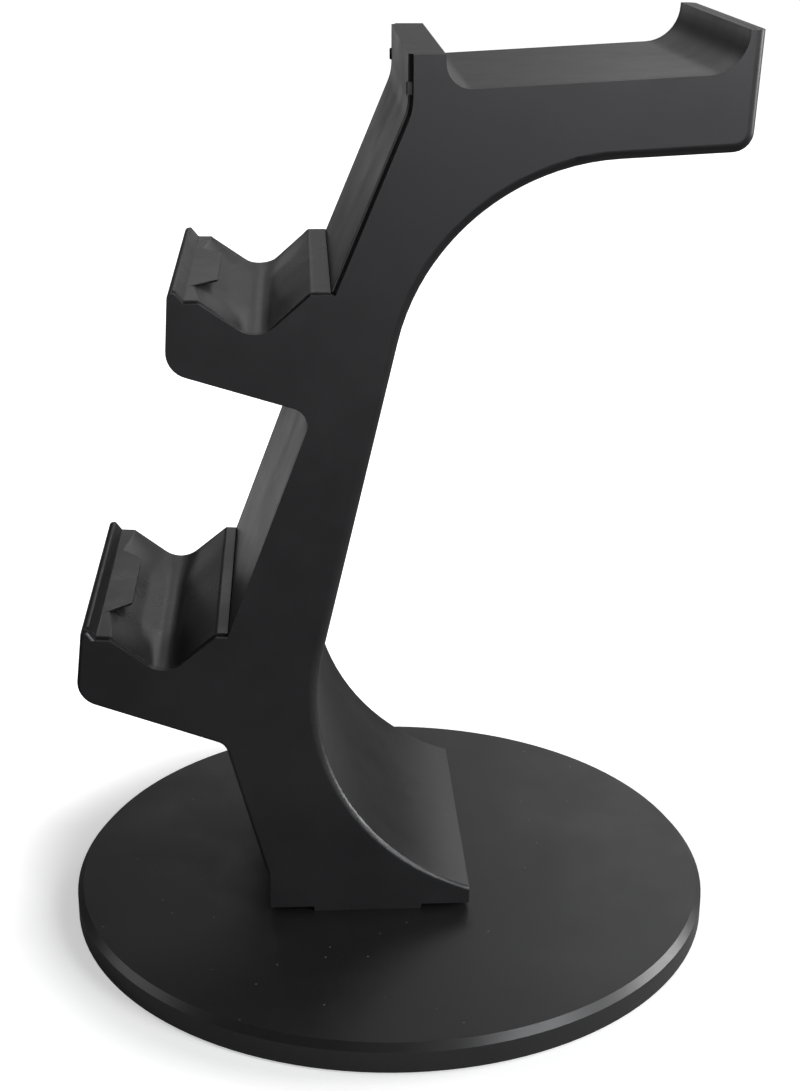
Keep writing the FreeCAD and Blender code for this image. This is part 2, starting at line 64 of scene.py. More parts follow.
def add_node(tree, kind, settings=None, values=None, links=None):
    """Adds a node, sets its attributes and input values, and links a socket or a list of them."""
    node = tree.nodes.new(kind)
    for name, value in (settings or {}).items():
        setattr(node, name, value)
    for name, value in (values or {}).items():
        node.inputs[name].default_value = value
    for name, sockets in (links or {}).items():
        for socket in sockets if isinstance(sockets, list) else [sockets]:
            tree.links.new(socket, node.inputs[name])
    return node


# Sizes and colours that a user may change


class StandSizes(bpy.types.PropertyGroup):
    edge_round: FloatProperty(
        name="Edge rounding", description="Radius of the moulded edges",
        default=0.4 * MM, min=0.0, max=2 * MM, precision=5, subtype="DISTANCE", unit="LENGTH",
    )
    rim_round: FloatProperty(
        name="Base edge rounding", description="Radius of the edges of the base's bevelled rim",
        default=0.45 * MM, min=0.0, max=1 * MM, precision=5, subtype="DISTANCE", unit="LENGTH",
    )
    foot_rings: IntProperty(
        name="Grip rings", description="Raised rings under each rubber foot", default=3, min=0, max=6,
    )
    thread_pitch: FloatProperty(
        name="Thread pitch", description="Rise of the screw thread in one turn",
        default=1.3 * MM, min=0.4 * MM, max=3 * MM, precision=5, subtype="DISTANCE", unit="LENGTH",
    )


class StandColours(bpy.types.PropertyGroup):
    stem: FloatVectorProperty(
        name="Stem", description="Charcoal black of the moulded stem",
        size=4, subtype="COLOR", min=0.0, max=1.0, default=linear("#1c1c1d"),
    )
    inserts: FloatVectorProperty(
        name="Inserts", description="Slightly lighter black of the inserts",
        size=4, subtype="COLOR", min=0.0, max=1.0, default=linear("#1e1e1e"),
    )
    base: FloatVectorProperty(
        name="Base", description="Charcoal black of the base",
        size=4, subtype="COLOR", min=0.0, max=1.0, default=linear("#1c1c1c"),
    )


def sizes():
    """The sizes set for this scene."""
    return bpy.context.scene.stand_sizes


def colours():
    """The colours set for this scene."""
    return bpy.context.scene.stand_colours


# Materials


def new_material(name):
    """An empty material, its tree, and each point's place on the object."""
    material = bpy.data.materials.new(name)
    material.use_nodes = True
    tree = material.node_tree
    tree.nodes.clear()
    return material, tree, add_node(tree, "ShaderNodeTexCoord").outputs["Object"]


def moulded_abs(name, colour, roughness, grain_mm, grain_height_mm):
    """ABS from a spark-eroded mould: black right through, satin, with a fine even grain.

    The eye sees a soft broad sheen, slightly uneven where the melt met, and paler
    specks of dust on faces that look up.
    """
    # Length of the flow marks, and how far apart the dust lies
    flow_mm, dust_mm = 30.0, 7.0
    material, tree, place = new_material(name)
    flow = add_node(
        tree, "ShaderNodeTexNoise", values={"Scale": 1 / (flow_mm * MM), "Detail": 7.0, "Roughness": 0.72},
        links={"Vector": place},
    )
    pale = [min(1.0, channel * 1.45 + 0.003) for channel in colour[:3]] + [1.0]
    tint = add_node(
        tree, "ShaderNodeMix", {"data_type": "RGBA"}, {6: list(colour), 7: pale},
        {"Factor": flow.outputs["Fac"]},
    )
    # Real grain is about 0.1 mm and is drawn coarser, so that it shows
    grain = add_node(
        tree, "ShaderNodeTexNoise", values={"Scale": 1 / (grain_mm * MM), "Detail": 2.0, "Roughness": 0.6},
        links={"Vector": place},
    )
    gloss = add_node(
        tree, "ShaderNodeMapRange",
        values={"From Min": 0.3, "From Max": 0.7, "To Min": roughness - 0.05, "To Max": roughness + 0.05},
        links={"Value": flow.outputs["Fac"]},
    )
    bump = add_node(
        tree, "ShaderNodeBump", values={"Strength": 0.5, "Distance": grain_height_mm * MM},
        links={"Height": grain.outputs["Fac"]},
    )
    dust = add_node(
        tree, "ShaderNodeTexVoronoi", values={"Scale": 1 / (dust_mm * MM), "Randomness": 1.0},
        links={"Vector": place},
    )
    speck = add_node(
        tree, "ShaderNodeMapRange",
        values={"From Min": 0.035, "From Max": 0.05, "To Min": 1.0, "To Max": 0.0},
        links={"Value": dust.outputs["Distance"]},
    )
    surface = add_node(tree, "ShaderNodeNewGeometry")
    facing = add_node(tree, "ShaderNodeSeparateXYZ", links={"Vector": surface.outputs["Normal"]})
    level = add_node(
        tree, "ShaderNodeMapRange",
        values={"From Min": 0.8, "From Max": 0.95, "To Min": 0.0, "To Max": 0.5},
        links={"Value": facing.outputs["Z"]},
    )
    amount = add_node(
        tree, "ShaderNodeMath", {"operation": "MULTIPLY"},
        links={0: speck.outputs["Result"], 1: level.outputs["Result"]},
    )
    dusty = add_node(
        tree, "ShaderNodeMix", {"data_type": "RGBA"}, {7: linear("#8c8a86")},
        {"Factor": amount.outputs["Value"], 6: tint.outputs[2]},
    )
    shader = add_node(
        tree, "ShaderNodeBsdfPrincipled", values={"IOR": 1.54, "Metallic": 0.0},
        links={
            "Base Color": dusty.outputs[2], "Roughness": gloss.outputs["Result"],
            "Normal": bump.outputs["Normal"],
        },
    )
    add_node(tree, "ShaderNodeOutputMaterial", links={"Surface": shader.outputs["BSDF"]})
    return material


def nitrile_rubber():
    """Moulded nitrile rubber: dull black with a faint powdery bloom."""
    bloom_mm = 3.0
    material, tree, place = new_material("moulded nitrile rubber")
    bloom = add_node(
        tree, "ShaderNodeTexNoise", values={"Scale": 1 / (bloom_mm * MM), "Detail": 4.0},
        links={"Vector": place},
    )
    tint = add_node(
        tree, "ShaderNodeMix", {"data_type": "RGBA"}, {6: linear("#1c1c1c"), 7: linear("#2b2a29")},
        {"Factor": bloom.outputs["Fac"]},
    )
    bump = add_node(
        tree, "ShaderNodeBump", values={"Strength": 0.4, "Distance": 0.03 * MM},
        links={"Height": bloom.outputs["Fac"]},
    )
    shader = add_node(
        tree, "ShaderNodeBsdfPrincipled", values={"IOR": 1.52, "Roughness": 0.8},
        links={"Base Color": tint.outputs[2], "Normal": bump.outputs["Normal"]},
    )
    add_node(tree, "ShaderNodeOutputMaterial", links={"Surface": shader.outputs["BSDF"]})
    return material


def zinc_plated_steel():
    """Cold-formed steel with bright zinc plate: pale metal with faint drawing marks."""
    mark_mm = 0.6
    material, tree, place = new_material("zinc plated steel")
    marks = add_node(
        tree, "ShaderNodeTexNoise", values={"Scale": 1 / (mark_mm * MM), "Detail": 5.0},
        links={"Vector": place},
    )
    tint = add_node(
        tree, "ShaderNodeMix", {"data_type": "RGBA"}, {6: linear("#b9bbbd"), 7: linear("#d6d6d2")},
        {"Factor": marks.outputs["Fac"]},
    )
    gloss = add_node(
        tree, "ShaderNodeMapRange", values={"To Min": 0.22, "To Max": 0.38},
        links={"Value": marks.outputs["Fac"]},
    )
    shader = add_node(
        tree, "ShaderNodeBsdfPrincipled", values={"Metallic": 1.0},
        links={"Base Color": tint.outputs[2], "Roughness": gloss.outputs["Result"]},
    )
    add_node(tree, "ShaderNodeOutputMaterial", links={"Surface": shader.outputs["BSDF"]})
    return material


# Pieces made from the solids


def finish_piece(piece, material, nodes):
    """Gives a finished piece its material and its body, and hides the nodes it stands for."""
    piece.data.materials.clear()
    piece.data.materials.append(material)
    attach(piece, "root")
    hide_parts(*nodes)


def apply_modifiers(piece):
    """Turns a piece's modifiers into its plain mesh."""
    graph = bpy.context.evaluated_depsgraph_get()
    mesh = bpy.data.meshes.new_from_object(piece.evaluated_get(graph), depsgraph=graph)
    piece.modifiers.clear()
    piece.data = mesh


def add_bevel(piece, width, segments, sharp_degrees):
    """Rounds the edges that turn by more than an angle."""
    bevel = piece.modifiers.new("Rounded edges", "BEVEL")
    bevel.width = width
    bevel.segments = segments
    bevel.limit_method = "ANGLE"
    bevel.angle_limit = math.radians(sharp_degrees)
    return bevel


def rounded_copy(node, name, width):
    """A merged copy of a node's mesh with its sharp edges rounded."""
    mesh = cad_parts[node].data.copy()
    work = bmesh.new()
    work.from_mesh(mesh)
    bmesh.ops.remove_doubles(work, verts=work.verts, dist=0.002 * MM)
    bmesh.ops.dissolve_limit(
        work, angle_limit=math.radians(0.5), verts=work.verts, edges=work.edges, delimit={"NORMAL"},
    )
    work.to_mesh(mesh)
    work.free()
    mesh.name = name
    piece = bpy.data.objects.new(name, mesh)
    bpy.context.scene.collection.objects.link(piece)
    mesh.shade_smooth()
    bevel = add_bevel(piece, width, 3, 32.0)
    bevel.use_clamp_overlap = True
    bevel.face_strength_mode = "FSTR_ALL"
    normals = piece.modifiers.new("Flat faces stay flat", "WEIGHTED_NORMAL")
    normals.mode = "FACE_AREA"
    normals.weight = 100
    normals.use_face_influence = True
    apply_modifiers(piece)
    return piece


# Troughs

# All in mm. A section's corners are: forward of the ridge, depth below it, radius
RIDGE_FRONT = (5.5, 0.0, 0.6)
MIDDLE_TROUGH = [RIDGE_FRONT, (18.8, 11.3, 7.0), (28.0, 7.6, 9.0), (37.4, 2.0, 0.8), (38.0, 2.0, 0.0)]
NEAR_END = [RIDGE_FRONT, (19.5, 13.0, 7.0), (34.6, 2.0, 0.0)]
FAR_END = [RIDGE_FRONT, (19.5, 13.5, 10.5), (34.6, 2.0, 0.0)]
LIP = [(38.4, 2.0, 0.4), (40.6, -0.75, 0.5), (41.15, -0.75, 0.0)]
TROUGH_POINTS, LIP_POINTS, ROWS = 64, 34, 96
TROUGH_WALL = 0.8
TROUGH_EDGE = 0.18

# Across the stand: its middle, and from there to a trough's end and to where its flare starts
STAND_MIDDLE = 17.0
TROUGH_HALF = 42.65
FLARE_START = 17.0

# The tongue's corners are: forward of the ridge, across, radius
TONGUE = [
    (39.6, -27.0, 0.0), (38.4, -27.0, 1.0), (30.4, -18.0, 2.5),
    (30.4, 18.0, 2.5), (38.4, 27.0, 1.0), (39.6, 27.0, 0.0),
]
TONGUE_TOP = 1.95
TONGUE_THICKNESS = 0.7
TONGUE_EDGE = 0.33


def rounded_line(corners):
    """Points along a line whose corners (a, b, radius) are rounded."""
    arc_steps = 12
    line = [Vector(corners[0][:2])]
    for before, here, after in zip(corners, corners[1:], corners[2:]):
        corner = Vector(here[:2])
        back = (Vector(before[:2]) - corner).normalized()
        on = (Vector(after[:2]) - corner).normalized()
        if here[2] == 0:
            line.append(corner)
            continue
        half = back.angle(on) / 2
        middle = (back + on).normalized() * (here[2] / math.sin(half))
        reach = here[2] / math.tan(half)
        start, end = back * reach - middle, on * reach - middle
        for step in range(arc_steps + 1):
            spoke = start.lerp(end, step / arc_steps).normalized() * here[2]
            line.append(corner + middle + spoke)
    line.append(Vector(corners[-1][:2]))
    return line


def resampled(line, count):
    """The same line as evenly spaced points."""
    lengths = [0.0]
    for here, after in zip(line, line[1:]):
        lengths.append(lengths[-1] + (after - here).length)
    points, at = [], 0
    for index in range(count):
        wanted = lengths[-1] * index / (count - 1)
        while at < len(line) - 2 and lengths[at + 1] < wanted:
            at += 1
        step = lengths[at + 1] - lengths[at]
        points.append(line[at].lerp(line[at + 1], (wanted - lengths[at]) / step if step else 0.0))
    return points


def linked_piece(name, work):
    """A finished bmesh as a smooth object in the scene."""
    mesh = bpy.data.meshes.new(name)
    work.to_mesh(mesh)
    work.free()
    mesh.shade_smooth()
    piece = bpy.data.objects.new(name, mesh)
    bpy.context.scene.collection.objects.link(piece)
    return piece


def trough_shell(name, place, rear):
    """Thin trough with a fuller front wall in its middle, which flares into a V at its ends."""
    middle, near, far = (
        resampled(rounded_line([(rear, 0.0, 0.0)] + corners), TROUGH_POINTS)
        for corners in (MIDDLE_TROUGH, NEAR_END, FAR_END)
    )
    work = bmesh.new()
    grid = []
    for row in range(ROWS + 1):
        # Rows lie closer together towards the ends
        across = TROUGH_HALF * math.sin(math.pi * (row / ROWS - 0.5))
        flare = min(1.0, max(0.0, (abs(across) - FLARE_START) / (TROUGH_HALF - FLARE_START)))
        flare = flare * flare * (3 - 2 * flare)
        section = [a.lerp(b, flare) for a, b in zip(middle, near if across < 0 else far)]
        lip = [(section[-1].x, section[-1].y, 0.0)] + LIP
        section += resampled(rounded_line(lip), LIP_POINTS)[1:]
        grid.append([work.verts.new(place(point.x, across, point.y)) for point in section])
    for here, after in zip(grid, grid[1:]):
        for at in range(len(here) - 1):
            work.faces.new((here[at], here[at + 1], after[at + 1], after[at]))
    bmesh.ops.recalc_face_normals(work, faces=work.faces)
    if sum(face.normal.z for face in work.faces) < 0:
        bmesh.ops.reverse_faces(work, faces=work.faces)
    shell = linked_piece(name, work)
    wall = shell.modifiers.new("Wall", "SOLIDIFY")
    wall.thickness = TROUGH_WALL * MM
    wall.offset = -1.0
    add_bevel(shell, TROUGH_EDGE * MM, 3, 60.0)
    apply_modifiers(shell)
    return shell


def tongue_plate(name, place):
    """Thin tapered plate that reaches over the trough from its ledge."""
    work = bmesh.new()
    plan = rounded_line(TONGUE)
    top = work.faces.new([work.verts.new(place(point.x, point.y, TONGUE_TOP)) for point in plan])
    if top.normal.z < 0:
        top.normal_flip()
    down = place(0.0, 0.0, TONGUE_THICKNESS) - place(0.0, 0.0, 0.0)
    under = bmesh.ops.extrude_face_region(work, geom=[top])
    moved = [item for item in under["geom"] if isinstance(item, bmesh.types.BMVert)]
    bmesh.ops.translate(work, vec=down, verts=moved)
    bmesh.ops.recalc_face_normals(work, faces=work.faces)
    plate = linked_piece(name, work)
    bevel = add_bevel(plate, TONGUE_EDGE * MM, 4, 50.0)
    bevel.harden_normals = True
    apply_modifiers(plate)
    return plate


def trough_piece(name, ridge_x, ridge_z, tilt, rear):
    """A trough and its tongue as one mesh. The ridge's place is in mm and the tilt in degrees."""
    cosine, sine = math.cos(math.radians(tilt)), math.sin(math.radians(tilt))

    def place(forward, across, depth):
        return Vector((
            ridge_x - forward * cosine - depth * sine, STAND_MIDDLE + across,
            ridge_z + forward * sine - depth * cosine,
        )) * MM

    shell = trough_shell(name, place, rear)
    plate = tongue_plate(name + "_tongue", place)
    work = bmesh.new()
    work.from_mesh(shell.data)
    work.from_mesh(plate.data)
    work.to_mesh(shell.data)
    work.free()
    bpy.data.objects.remove(plate)
    return shell


# Repeated pieces grown by Geometry Nodes

RING_HEIGHT = 0.4 * MM
SCREW_HEAD_RADIUS = 2.8 * MM


def new_tree(name, inputs):
    """A node tree with named inputs, and the sockets that bring them in."""
    tree = bpy.data.node_groups.new(name, "GeometryNodeTree")
    tree.interface.new_socket("Places", in_out="INPUT", socket_type="NodeSocketGeometry")
    tree.interface.new_socket("Pieces", in_out="OUTPUT", socket_type="NodeSocketGeometry")
    for label, kind, value in inputs:
        tree.interface.new_socket(label, in_out="INPUT", socket_type=kind).default_value = value
    return tree, tree.nodes.new("NodeGroupInput").outputs


def raised(tree, geometry, height):
    """Geometry moved up by a height."""
    up = add_node(tree, "ShaderNodeCombineXYZ", links={"Z": height})
    moved = add_node(
        tree, "GeometryNodeTransform", links={"Geometry": geometry, "Translation": up.outputs["Vector"]},
    )
    return moved.outputs["Geometry"]


def set_out(tree, places, parts, material):
    """Joins the parts, puts them at each place, and makes real mesh with its material."""
    piece = add_node(tree, "GeometryNodeJoinGeometry", links={"Geometry": parts})
    rows = add_node(
        tree, "GeometryNodeInstanceOnPoints",
        links={"Points": places, "Instance": piece.outputs["Geometry"]},
    )
    real = add_node(tree, "GeometryNodeRealizeInstances", links={"Geometry": rows.outputs["Instances"]})
    done = add_node(
        tree, "GeometryNodeSetMaterial", values={"Material": material},
        links={"Geometry": real.outputs["Geometry"]},
    )
    add_node(tree, "NodeGroupOutput", links={0: done.outputs["Geometry"]})


def foot_tree(material):
    """A rubber disc with raised grip rings under it."""
    outer_ring_share, ring_spread = 0.86, 0.85
    tree, given = new_tree("rubber foot", (
        ("Radius", "NodeSocketFloat", 7 * MM), ("Height", "NodeSocketFloat", 2.2 * MM),
        ("Ring height", "NodeSocketFloat", RING_HEIGHT), ("Rings", "NodeSocketInt", 3),
    ))
    height, ring_height = given["Height"], given["Ring height"]
    depth = add_node(tree, "ShaderNodeMath", {"operation": "SUBTRACT"}, links={0: height, 1: ring_height})
    disc = add_node(
        tree, "GeometryNodeMeshCylinder", values={"Vertices": 96},
        links={"Radius": given["Radius"], "Depth": depth.outputs["Value"]},
    )
    both = add_node(tree, "ShaderNodeMath", {"operation": "ADD"}, links={0: height, 1: ring_height})
    middle = add_node(
        tree, "ShaderNodeMath", {"operation": "MULTIPLY"}, {1: 0.5}, {0: both.outputs["Value"]},
    )
    ring_radius = add_node(
        tree, "ShaderNodeMath", {"operation": "MULTIPLY"}, {1: outer_ring_share}, {0: given["Radius"]},
    )
    path = add_node(
        tree, "GeometryNodeCurvePrimitiveCircle", values={"Resolution": 96},
        links={"Radius": ring_radius.outputs["Value"]},
    )
    section = add_node(
        tree, "GeometryNodeCurvePrimitiveCircle", values={"Resolution": 12}, links={"Radius": ring_height},
    )
    ring = add_node(
        tree, "GeometryNodeCurveToMesh",
        links={"Curve": path.outputs["Curve"], "Profile Curve": section.outputs["Curve"]},
    )
    smooth_ring = add_node(tree, "GeometryNodeSetShadeSmooth", links={0: ring.outputs["Mesh"]})
    row = add_node(
        tree, "GeometryNodeMeshLine", values={"Offset": (0.0, 0.0, 0.0)}, links={"Count": given["Rings"]},
    )
    # Each further ring is smaller: 1 less its number's share of the spread
    number = add_node(tree, "GeometryNodeInputIndex")
    spread = add_node(
        tree, "ShaderNodeMath", {"operation": "MULTIPLY"}, {1: ring_spread}, {0: number.outputs["Index"]},
    )
    count = add_node(tree, "ShaderNodeMath", {"operation": "MAXIMUM"}, {1: 1.0}, {0: given["Rings"]})
    share = add_node(
        tree, "ShaderNodeMath", {"operation": "DIVIDE"},
        links={0: spread.outputs["Value"], 1: count.outputs["Value"]},
    )
    size = add_node(
        tree, "ShaderNodeMath", {"operation": "SUBTRACT"}, {0: 1.0}, {1: share.outputs["Value"]},
    )
    scale = add_node(
        tree, "ShaderNodeCombineXYZ", values={"Z": 1.0},
        links={"X": size.outputs["Value"], "Y": size.outputs["Value"]},
    )
    rings = add_node(
        tree, "GeometryNodeInstanceOnPoints", links={
            "Points": row.outputs["Mesh"], "Instance": smooth_ring.outputs[0],
            "Scale": scale.outputs["Vector"],
        },
    )
    parts = [
        raised(tree, disc.outputs["Mesh"], middle.outputs["Value"]),
        raised(tree, rings.outputs["Instances"], ring_height),
    ]
    set_out(tree, given["Places"], parts, material)
    return tree


def screw_tree(material):
    """A pan-head screw, head down, with a cross recess and a cut thread."""
    slot_width, slot_length, slot_depth = 0.6 * MM, 3.2 * MM, 2.2 * MM
    thread_height, tip_radius = 0.3 * MM, 0.3 * MM
    tree, given = new_tree("screw", (
        ("Head start", "NodeSocketFloat", 3 * MM), ("Head height", "NodeSocketFloat", 2.2 * MM),
        ("Head radius", "NodeSocketFloat", SCREW_HEAD_RADIUS),
        ("Core radius", "NodeSocketFloat", 1.2 * MM), ("Shank length", "NodeSocketFloat", 11 * MM),
        ("Tip length", "NodeSocketFloat", 3 * MM), ("Thread pitch", "NodeSocketFloat", 1.3 * MM),
    ))
    head_height, shank_length, core = given["Head height"], given["Shank length"], given["Core radius"]
    half_head = add_node(tree, "ShaderNodeMath", {"operation": "MULTIPLY"}, {1: 0.5}, {0: head_height})
    half_shank = add_node(tree, "ShaderNodeMath", {"operation": "MULTIPLY"}, {1: 0.5}, {0: shank_length})
    head_face = add_node(tree, "ShaderNodeMath", {"operation": "MULTIPLY"}, {1: -0.5}, {0: head_height})
    head = add_node(
        tree, "GeometryNodeMeshCylinder", values={"Vertices": 48},
        links={"Radius": given["Head radius"], "Depth": head_height},
    )
    slots = []
    for size in ((slot_width, slot_length, slot_depth), (slot_length, slot_width, slot_depth)):
        bar = add_node(tree, "GeometryNodeMeshCube", values={"Size": size})
        slots.append(raised(tree, bar.outputs["Mesh"], head_face.outputs["Value"]))
    cut = add_node(
        tree, "GeometryNodeMeshBoolean", {"operation": "DIFFERENCE"},
        links={"Mesh 1": head.outputs["Mesh"], "Mesh 2": slots},
    )
    shank = add_node(
        tree, "GeometryNodeMeshCylinder", values={"Vertices": 32},
        links={"Radius": core, "Depth": shank_length},
    )
    turns = add_node(
        tree, "ShaderNodeMath", {"operation": "DIVIDE"}, links={0: shank_length, 1: given["Thread pitch"]},
    )
    helix = add_node(
        tree, "GeometryNodeCurveSpiral", values={"Resolution": 24},
        links={
            "Rotations": turns.outputs["Value"], "Start Radius": core, "End Radius": core,
            "Height": shank_length,
        },
    )
    section = add_node(
        tree, "GeometryNodeCurvePrimitiveCircle", values={"Resolution": 4, "Radius": thread_height},
    )
    thread = add_node(
        tree, "GeometryNodeCurveToMesh", values={"Fill Caps": True},
        links={"Curve": helix.outputs["Curve"], "Profile Curve": section.outputs["Curve"]},
    )
    tip = add_node(
        tree, "GeometryNodeMeshCone", values={"Vertices": 32, "Radius Top": tip_radius},
        links={"Radius Bottom": core, "Depth": given["Tip length"]},
    )
    under_head = add_node(
        tree, "ShaderNodeMath", {"operation": "ADD"}, links={0: given["Head start"], 1: head_height},
    ).outputs["Value"]
    tip_start = add_node(
        tree, "ShaderNodeMath", {"operation": "ADD"}, links={0: under_head, 1: shank_length},
    ).outputs["Value"]
    head_middle = add_node(
        tree, "ShaderNodeMath", {"operation": "SUBTRACT"},
        links={0: under_head, 1: half_head.outputs["Value"]},
    )
    shank_middle = add_node(
        tree, "ShaderNodeMath", {"operation": "SUBTRACT"},
        links={0: tip_start, 1: half_shank.outputs["Value"]},
    )
    parts = [
        raised(tree, cut.outputs["Mesh"], head_middle.outputs["Value"]),
        raised(tree, shank.outputs["Mesh"], shank_middle.outputs["Value"]),
        raised(tree, thread.outputs["Mesh"], under_head),
        raised(tree, tip.outputs["Mesh"], tip_start),
    ]
    set_out(tree, given["Places"], parts, material)
    return tree


def grown_piece(name, tree, places, values):
    """The tree's pieces at the given places, as plain mesh."""
    mesh = bpy.data.meshes.new(name)
    mesh.from_pydata(places, [], [])
    piece = bpy.data.objects.new(name, mesh)
    bpy.context.scene.collection.objects.link(piece)
    nodes = piece.modifiers.new("Pieces", "NODES")
    nodes.node_group = tree
    for item in tree.interface.items_tree:
        if item.in_out == "INPUT" and item.name in values:
            nodes[item.identifier] = values[item.name]
    apply_modifiers(piece)
    return piece


# Operators that make the stand


class STAND_OT_base(bpy.types.Operator):
    """Round base with its bevelled rim"""

    bl_idname = "stand.base"
    bl_label = "Base"

    def execute(self, context):
        piece = rounded_copy("base_disc", "round_base", sizes().rim_round)
        material = moulded_abs("moulded ABS, even satin base", colours().base, 0.36, 0.35, 0.02)
        finish_piece(piece, material, ["base_disc"])
        return {"FINISHED"}


class STAND_OT_stem(bpy.types.Operator):
    """Hollow moulded stem with the cradle bodies, the arm and the flared foot"""

    bl_idname = "stand.stem"
    bl_label = "Stem"

    def execute(self, context):
        piece = rounded_copy("stem_shell", "moulded_stem", sizes().edge_round)
        material = moulded_abs("moulded ABS, charcoal satin stem", colours().stem, 0.38, 0.35, 0.02)
        finish_piece(piece, material, ["stem_shell"])
        return {"FINISHED"}


class STAND_OT_inserts(bpy.types.Operator):
    """Headset rest, front strips and saddles, which close the stem"""

    bl_idname = "stand.inserts"
    bl_label = "Inserts"

    def execute(self, context):
        satin = moulded_abs("moulded ABS, smooth satin inserts", colours().inserts, 0.36, 0.3, 0.015)
        saddle = moulded_abs("moulded ABS, polished trough", colours().stem, 0.3, 0.3, 0.01)
        for node, name in (
            ("headset_rest", "headset_tray"),
            ("upper_front_strip", "upper_front_panel"),
            ("lower_front_strip", "lower_front_panel"),
        ):
            finish_piece(rounded_copy(node, name, sizes().edge_round), satin, [node])
        for node, name, ridge_x, ridge_z, tilt, rear in (
            ("upper_saddle", "upper_trough", -16.8, 193.2, 0.0, 0.2),
            ("lower_saddle", "lower_trough", -44.2, 97.0, 3.0, 2.3),
        ):
            finish_piece(trough_piece(name, ridge_x, ridge_z, tilt, rear), saddle, [node])
        return {"FINISHED"}


class STAND_OT_feet(bpy.types.Operator):
    """Six rubber feet under the base, with grip rings"""

    bl_idname = "stand.feet"
    bl_label = "Rubber feet"

    def execute(self, context):
        rubber = nitrile_rubber()
        tree = foot_tree(rubber)
        for number in range(1, 7):
            node = "rubber_foot_%d" % number
            low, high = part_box(node)
            values = {
                "Radius": (high[0] - low[0]) / 2, "Height": high[2] - low[2],
                "Ring height": RING_HEIGHT, "Rings": sizes().foot_rings,
            }
            place = ((low[0] + high[0]) / 2, (low[1] + high[1]) / 2, low[2])
            piece = grown_piece("grip_foot_%d" % number, tree, [place], values)
            finish_piece(piece, rubber, [node])
        return {"FINISHED"}


class STAND_OT_screws(bpy.types.Operator):
    """Four screws that hold the stem to the base"""

    bl_idname = "stand.screws"
    bl_label = "Screws"

    def execute(self, context):
        steel = zinc_plated_steel()
        low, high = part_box("base_screws")
        head = SCREW_HEAD_RADIUS
        front, back, near, far = low[0] + head, high[0] - head, low[1] + head, high[1] - head
        places = [(front, near, 0.0), (front, far, 0.0), (back, near, 0.0), (back, far, 0.0)]
        values = {"Head start": low[2], "Head radius": head, "Thread pitch": sizes().thread_pitch}
        piece = grown_piece("stem_screws", screw_tree(steel), places, values)
        finish_piece(piece, steel, ["base_screws"])
        return {"FINISHED"}


# Floor, light and camera


class STAND_OT_stage(bpy.types.Operator):
    """White floor, soft studio light and the camera"""

    bl_idname = "stand.stage"
    bl_label = "Stage"

    def execute(self, context):
        make_floor()
        make_world()
        make_lights()
        set_view()
        make_camera()
        return {"FINISHED"}


def make_floor():
    """Wide white floor. It shows white, takes shadows and has a painted shadow round the base, but mirrors
    dim in the plastic.
    """
    half = 6.0
    corners = [(-half, -half, 0.0), (half, -half, 0.0), (half, half, 0.0), (-half, half, 0.0)]
    mesh = bpy.data.meshes.new("studio_floor")
    mesh.from_pydata(corners, [], [(0, 1, 2, 3)])
    floor = bpy.data.objects.new("studio_floor", mesh)
    bpy.context.scene.collection.objects.link(floor)
    material, tree, place = new_material("matt white paper")
    # The paper glows less near the stand, which paints a soft shadow all round the base, and fully further
    # off, so the ground stays white
    away = add_node(tree, "ShaderNodeVectorMath", {"operation": "LENGTH"}, links={0: place})
    glow_with_painted_shadow = add_node(
        tree, "ShaderNodeMapRange", {"interpolation_type": "SMOOTHSTEP"},
        values={"From Min": 0.097, "From Max": 0.14, "To Min": 0.47, "To Max": 1.0},
        links={"Value": away.outputs["Value"]},
    )
    lit = add_node(tree, "ShaderNodeEmission", links={"Strength": glow_with_painted_shadow.outputs["Result"]})
    white = add_node(tree, "ShaderNodeBsdfDiffuse", values={"Color": linear("#fbfbfa")})
    bright = add_node(
        tree, "ShaderNodeAddShader", links={0: lit.outputs["Emission"], 1: white.outputs["BSDF"]},
    )
    # In the plastic it mirrors dim, and less so right beside the base
    beside = add_node(
        tree, "ShaderNodeMapRange", values={"From Min": 0.11, "From Max": 0.19},
        links={"Value": away.outputs["Value"]},
    )
    shade = add_node(
        tree, "ShaderNodeMix", {"data_type": "RGBA"}, {6: linear("#b4b4b4"), 7: linear("#505050")},
        {"Factor": beside.outputs["Result"]},
    )
    dim = add_node(tree, "ShaderNodeBsdfDiffuse", links={"Color": shade.outputs[2]})
    seen = add_node(tree, "ShaderNodeLightPath").outputs["Is Camera Ray"]
    paper = add_node(
        tree, "ShaderNodeMixShader", links={0: seen, 1: dim.outputs["BSDF"], 2: bright.outputs["Shader"]},
    )
    add_node(tree, "ShaderNodeOutputMaterial", links={"Surface": paper.outputs["Shader"]})
    mesh.materials.append(material)


def make_world():
    """White surroundings, which mirror dim in the plastic, as black flags round a table make them."""
    world = bpy.data.worlds.new("studio")
    bpy.context.scene.world = world
    world.use_nodes = True
    tree = world.node_tree
    tree.nodes.clear()
    white = add_node(tree, "ShaderNodeBackground", values={"Color": linear("#ffffff"), "Strength": 1.05})
    dim = add_node(tree, "ShaderNodeBackground", values={"Color": linear("#f7f8fa"), "Strength": 0.03})
    seen = add_node(tree, "ShaderNodeLightPath").outputs["Is Camera Ray"]
    both = add_node(
        tree, "ShaderNodeMixShader",
        links={0: seen, 1: dim.outputs["Background"], 2: white.outputs["Background"]},
    )
    add_node(tree, "ShaderNodeOutputWorld", links={"Surface": both.outputs["Shader"]})


